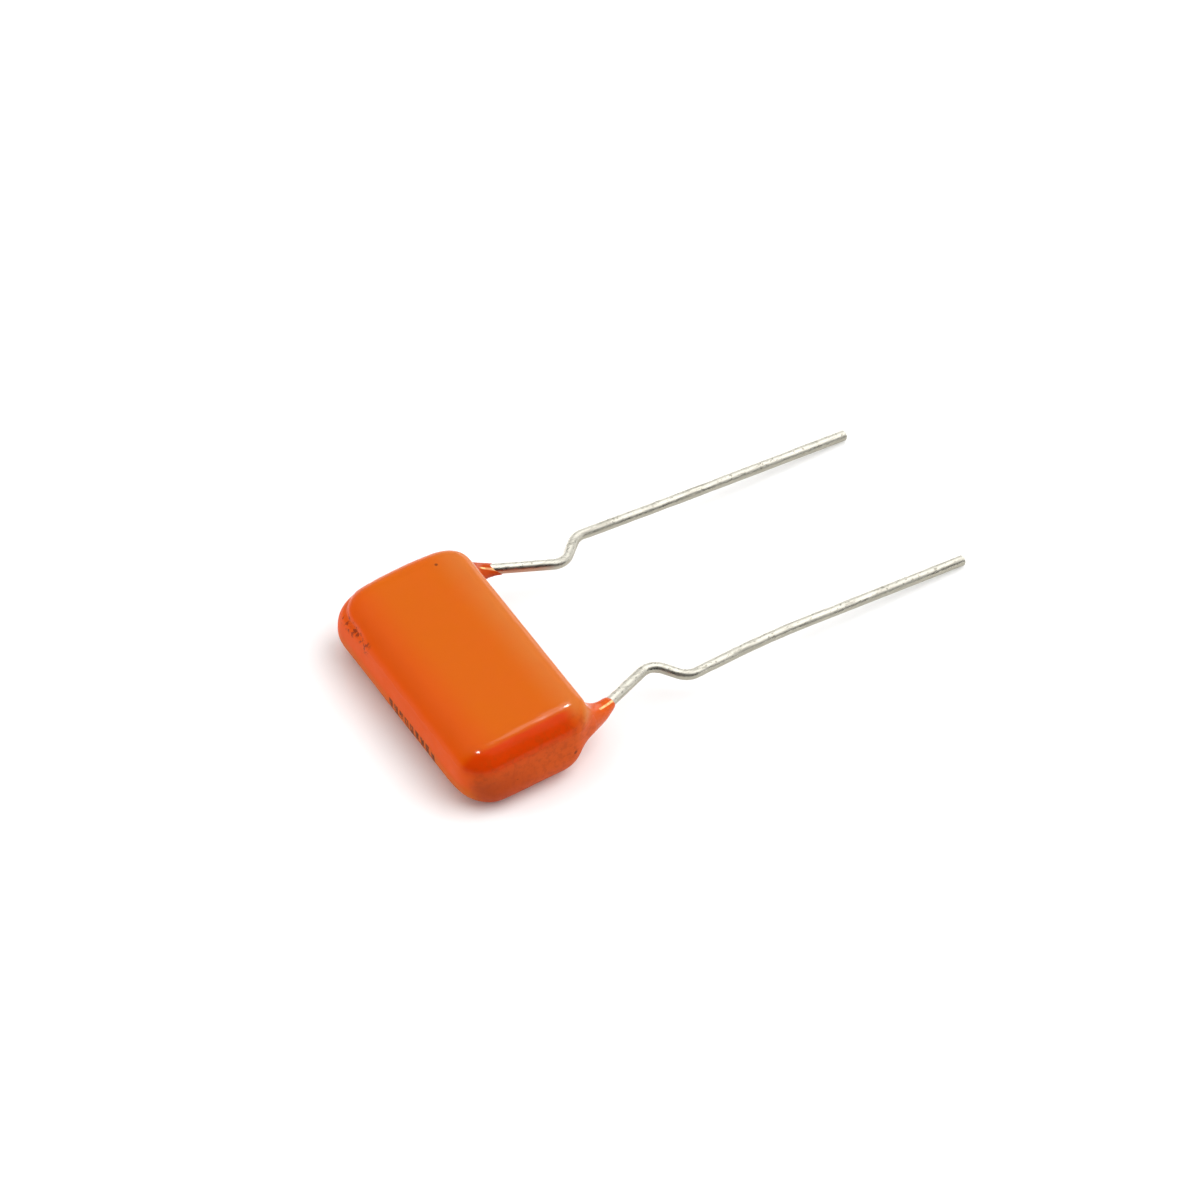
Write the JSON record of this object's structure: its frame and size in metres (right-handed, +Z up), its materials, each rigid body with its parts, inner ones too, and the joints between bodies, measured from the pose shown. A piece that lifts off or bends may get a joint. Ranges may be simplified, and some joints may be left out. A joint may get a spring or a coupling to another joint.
{
  "type": "polypropylene film capacitor",
  "caption": "Dipped film capacitor: a rounded orange block round a flat film winding, with kinked round wire leads out of one long side.",
  "frame": {"origin": "on the resting face, at the middle of the body's width and close to the middle of its depth", "axes": "+Y from the body towards the free ends of the leads, +X along the axis of the winding to lead_right, +Z up from the resting face"},
  "size_m": [0.0204, 0.0432, 0.0059],
  "materials": {
    "coating": "glossy dipped epoxy",
    "metallised_film": "satin grey, metallised film seen through its turns",
    "plain_film": "milky",
    "sprayed_metal": "rough, as sprayed",
    "tinned_wire": "satin tin, a little worn"
  },
  "bodies": {
    "root": {"epoxy_coating": "coating", "film_winding": "metallised_film", "cover_film": "plain_film", "end_contact_left": "sprayed_metal", "end_contact_right": "sprayed_metal", "lead_left": "tinned_wire", "lead_right": "tinned_wire"}
  },
  "joints": []
}
